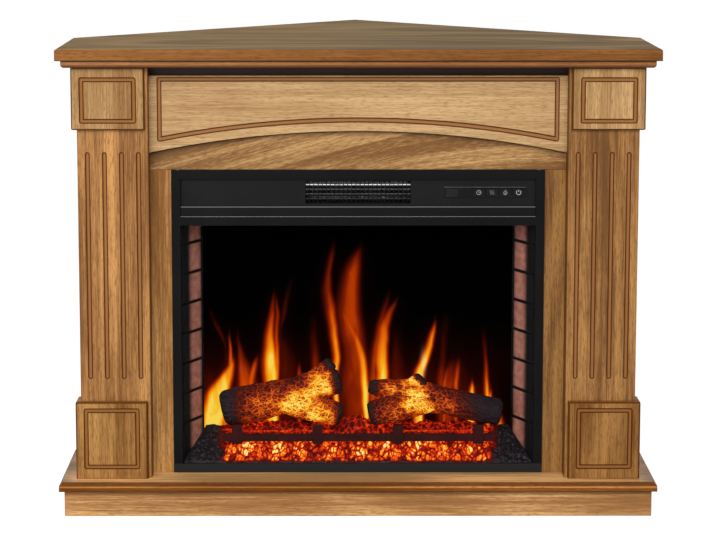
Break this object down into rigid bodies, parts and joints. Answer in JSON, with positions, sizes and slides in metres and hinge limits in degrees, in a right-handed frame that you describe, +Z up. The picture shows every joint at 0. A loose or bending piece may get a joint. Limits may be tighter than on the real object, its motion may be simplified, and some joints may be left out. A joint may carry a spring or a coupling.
{
  "type": "corner electric fireplace with wooden surround",
  "caption": "Corner fireplace: a wood-veneer surround with fluted pilasters and an arched frieze round an electric insert with glowing logs and a flame picture.",
  "frame": {"origin": "on the floor, under the middle of the whole object's bounding box", "axes": "+X to the right as seen from the front, +Y from the front towards the corner of the room, +Z up"},
  "size_m": [1.139, 0.863, 0.893],
  "materials": {
    "oak_light": "satin",
    "oak_dark": "satin",
    "black_steel": "matte",
    "galvanised": "satin",
    "motor_steel": "satin",
    "black_plastic": "gloss",
    "key_plastic": "matte",
    "board": "satin",
    "clear_glass": "gloss",
    "brick": "matte",
    "flame_film": "satin",
    "mirror_foil": "gloss",
    "lamp_strip": "satin",
    "ember_resin": "matte",
    "log_resin": "matte",
    "cast_black": "matte"
  },
  "bodies": {
    "fireplace": {"mantel_top": "oak_dark", "crown_moulding_front": "oak_dark", "crown_moulding_left": "oak_dark", "crown_moulding_right": "oak_dark", "surround_header": "oak_light", "surround_stile_left": "oak_light", "surround_stile_right": "oak_light", "frieze_panel": "oak_light", "pilaster_left": "oak_light", "pilaster_right": "oak_light", "capital_block_left": "oak_light", "capital_block_right": "oak_light", "base_block_left": "oak_light", "base_block_right": "oak_light", "side_panel_left": "oak_light", "side_panel_right": "oak_light", "hearth_slab": "oak_dark", "plinth_front": "oak_light", "plinth_left": "oak_light", "plinth_right": "oak_light", "plinth_rail_left": "oak_light", "plinth_rail_right": "oak_light", "corner_brackets": "galvanised", "front_frame": "black_steel", "fascia_panel": "black_steel", "trim_rail": "black_steel", "outlet_grille": "black_steel", "control_strip": "black_plastic", "display_window": "black_plastic", "control_board": "board", "front_glass": "clear_glass", "insert_casing": "black_steel", "rear_cover": "black_steel", "cable_gland": "key_plastic", "insert_brackets": "galvanised", "firebox_ceiling": "black_steel", "heater_duct": "galvanised", "heating_element": "galvanised", "blower_motor": "motor_steel", "brick_panel_left": "brick", "brick_panel_right": "brick", "flame_screen": "flame_film", "rotor_motor": "motor_steel", "rotor_bearing": "galvanised", "flame_led_strip": "lamp_strip", "ember_led_strip": "lamp_strip", "ember_bed": "ember_resin", "fire_grate": "cast_black", "upper_log_left": "log_resin", "upper_log_right": "log_resin", "lower_log_left": "log_resin", "lower_log_right": "log_resin"},
    "timer_key": {"timer_key": "key_plastic"},
    "heater_key": {"heater_key": "key_plastic"},
    "flame_key": {"flame_key": "key_plastic"},
    "power_key": {"power_key": "key_plastic"},
    "blower_wheel": {"blower_wheel": "galvanised"},
    "flame_rotor": {"flame_rotor": "mirror_foil"}
  },
  "joints": [
    {"name": "timer_key_press", "type": "slide", "parent": "fireplace", "child": "timer_key", "axis": [0, 1, 0], "range_m": [0, 0.0012], "stiffness_N_per_m": 600},
    {"name": "heater_key_press", "type": "slide", "parent": "fireplace", "child": "heater_key", "axis": [0, 1, 0], "range_m": [0, 0.0012], "stiffness_N_per_m": 600},
    {"name": "flame_key_press", "type": "slide", "parent": "fireplace", "child": "flame_key", "axis": [0, 1, 0], "range_m": [0, 0.0012], "stiffness_N_per_m": 600},
    {"name": "power_key_press", "type": "slide", "parent": "fireplace", "child": "power_key", "axis": [0, 1, 0], "range_m": [0, 0.0012], "stiffness_N_per_m": 600},
    {"name": "blower_spin", "type": "hinge", "parent": "fireplace", "child": "blower_wheel", "pos_m": [0, -0.2465, 0.614], "axis": [1, 0, 0], "continuous": true},
    {"name": "flame_rotor_spin", "type": "hinge", "parent": "fireplace", "child": "flame_rotor", "pos_m": [0, -0.2245, 0.1295], "axis": [1, 0, 0], "continuous": true}
  ]
}
